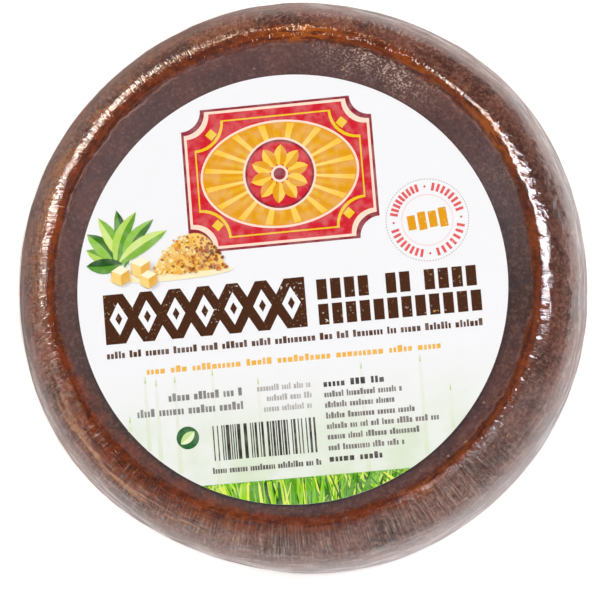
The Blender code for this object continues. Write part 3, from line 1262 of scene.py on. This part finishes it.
studio = {
    "cameraTilt": 9.2,            # degrees off straight above
    "cameraBearing": -52.6,
    "cameraRoll": 4.6,            # the block was laid with its label a little turned
    "cameraDistance": 0.65,
    "lens": 176.4,
    "lookAt": (-0.00056, -0.0034, 0.0145),
    "floorRadius": 4.0,
    "floorWhite": (0.9, 0.9, 0.9, 1.0),
    "floorRoughness": 0.6,
    "floorGlow": 0.5,
    "paleTable": 0.15,            # added where the camera looks straight at the table
    "brightSide": -40,            # the side of the table that throws most light back up
    "dimSide": 0.20,
    "dimRoom": 0.05,
}
# Panels of light round the block. Each has a bearing, its half spread and how far its ends fade, the lean of
# its upper edge off straight above, how much the lean grows for each degree away from the bearing, how tall
# it is, and how soft its edges are. A panel that is one-sided runs one way round from its bearing.
panels = {
    "left strip": {"bearing": 146, "spread": 36, "blur": 30.0, "lean": 58.0, "rise": 0.0, "tall": 14.0,
                   "soft": 0.8, "strength": 13.2, "tint": (1.0, 0.90, 0.79)},
    "golden strip": {"bearing": 78, "spread": 66, "blur": 30.0, "lean": 49.0, "rise": 0.12, "tall": 8.0,
                     "soft": 1.0, "strength": 5.5, "tint": (1.0, 0.74, 0.50), "oneSided": True},
    "right strip": {"bearing": -3, "spread": 39, "blur": 4.0, "lean": 34.0, "rise": -0.43, "tall": 17.0,
                    "soft": 0.6, "strength": 13.8, "tint": (0.96, 0.97, 1.02), "oneSided": True},
    "right streak": {"bearing": 32, "spread": 46, "blur": 8.0, "lean": 20.5, "rise": 0.28, "tall": 8.0,
                     "soft": 0.6, "strength": 9.5, "tint": (1.0, 0.88, 0.76), "oneSided": True},
    "low streak": {"bearing": -44, "spread": 44, "blur": 4.0, "lean": 12.0, "rise": 0.38, "tall": 3.0,
                   "soft": 0.6, "strength": 2.0, "tint": (1.0, 0.97, 0.97), "oneSided": True},
    "pale wall": {"bearing": -70, "spread": 62, "blur": 22.0, "lean": 13.0, "rise": 0.42, "tall": 90.0,
                  "soft": 2.0, "strength": 0.91, "tint": (1.0, 0.99, 0.98), "slats": 15.0},
    "side wall": {"bearing": -135, "spread": 60, "blur": 25.0, "lean": 52.0, "rise": 0.0, "tall": 90.0,
                  "soft": 5.0, "strength": 0.55, "tint": (1.0, 0.98, 0.95)},
    "far wall": {"bearing": 75, "spread": 130, "blur": 20.0, "lean": 70.0, "rise": 0.0, "tall": 40.0,
                 "soft": 12.0, "strength": 0.3, "tint": (1.0, 0.98, 0.96)},
    "ceiling": {"bearing": 150, "spread": 85, "blur": 60.0, "lean": -1.0, "rise": 0.0, "tall": 24.0,
                "soft": 10.0, "strength": 0.44, "tint": (0.87, 0.94, 1.08)},
}


def aim(thing, spot, target, roll=0.0):
    back = (spot - target).normalized()
    upward = Vector((-sin(roll), cos(roll), 0.0)) if abs(back.z) > 0.7 else Vector((0, 0, 1))
    side = upward.cross(back).normalized()
    turned = Matrix((side, back.cross(side), back)).transposed()
    thing.matrix_world = Matrix.Translation(spot) @ turned.to_4x4()


def direction(bearing, lean):
    return Vector((sin(lean) * cos(bearing), sin(lean) * sin(bearing), cos(lean)))


def bearingOf(tree, axes):
    return calc(tree, "ARCTAN2", axes[1], axes[0])


def tableMaterial():
    material, tree, surface = newMaterial("white table")
    bearing = bearingOf(tree, split(tree, objectPlace(tree)))
    facing = calc(tree, "COSINE", calc(tree, "SUBTRACT", bearing, radians(studio["brightSide"])))
    seen = addNode(tree, "ShaderNodeLightPath").outputs["Is Camera Ray"]
    level = calc(tree, "MAXIMUM", seen, spread(tree, facing, -1.0, -0.3, studio["dimSide"], 1.0))
    glow = times(tree, seen, studio["paleTable"], times(tree, level, studio["floorGlow"]))
    tree.links.new(lay(tree, pureBlack, studio["floorWhite"], level), surface.inputs["Base Color"])
    tree.links.new(glow, surface.inputs["Emission Strength"])
    surface.inputs["Emission Color"].default_value = pureWhite
    surface.inputs["Roughness"].default_value = studio["floorRoughness"]
    return material


def makeFloor():
    bm = bmesh.new()
    bmesh.ops.create_circle(bm, cap_ends=True, segments=96, radius=studio["floorRadius"])
    floor = addMesh("floor", bm, tableMaterial())


# How much of a panel is seen in a direction, given as a bearing and a lean in degrees
def panelMask(tree, panel, bearing, lean):
    side = calc(tree, "WRAP", calc(tree, "SUBTRACT", bearing, panel["bearing"]), 180.0, -180.0)
    if "oneSided" not in panel:
        side = calc(tree, "ABSOLUTE", side)
    into = calc(tree, "SUBTRACT", lean, times(tree, side, panel["rise"], panel["lean"]))
    soft, tall, half = panel["soft"], panel["tall"], panel["spread"]
    mask = times(tree, spread(tree, into, 0.0, soft), spread(tree, into, tall - soft, tall, 1.0, 0.0))
    mask = times(tree, mask, spread(tree, side, half - panel["blur"], half, 1.0, 0.0))
    if "slats" in panel:
        wave = calc(tree, "SINE", times(tree, bearing, 2 * pi / panel["slats"]))
        mask = times(tree, mask, spread(tree, wave, -0.7, 0.2, 0.45, 1.2))
    if "oneSided" in panel:
        mask = times(tree, mask, spread(tree, side, 0.0, 4.0))
    return mask


def makeSky():
    world = bpy.data.worlds.new("studio")
    bpy.context.scene.world = world
    world.use_nodes = True
    tree = world.node_tree
    axes = split(tree, addNode(tree, "ShaderNodeTexCoord").outputs["Generated"])
    lean = calc(tree, "DEGREES", calc(tree, "ARCCOSINE", axes[2]))
    bearing = calc(tree, "DEGREES", bearingOf(tree, axes))
    total = (*(studio["dimRoom"],) * 3, 1.0)
    for panel in panels.values():
        glow = (*(part * panel["strength"] for part in panel["tint"]), 1.0)
        lit = lay(tree, pureBlack, glow, panelMask(tree, panel, bearing, lean))
        total = mixColor(tree, 1.0, total, lit, "ADD")
    tree.links.new(total, tree.nodes["Background"].inputs["Color"])


def makeCamera():
    camera = addObject("camera", bpy.data.cameras.new("camera"))
    bpy.context.scene.camera = camera
    camera.data.lens = studio["lens"]
    target = Vector(studio["lookAt"])
    back = direction(radians(studio["cameraBearing"]), radians(studio["cameraTilt"]))
    aim(camera, target + back * studio["cameraDistance"], target, radians(-studio["cameraRoll"]))


makeFloor()
makeSky()
makeCamera()
bpy.context.scene.view_settings.view_transform = "Standard"
print("studio made")
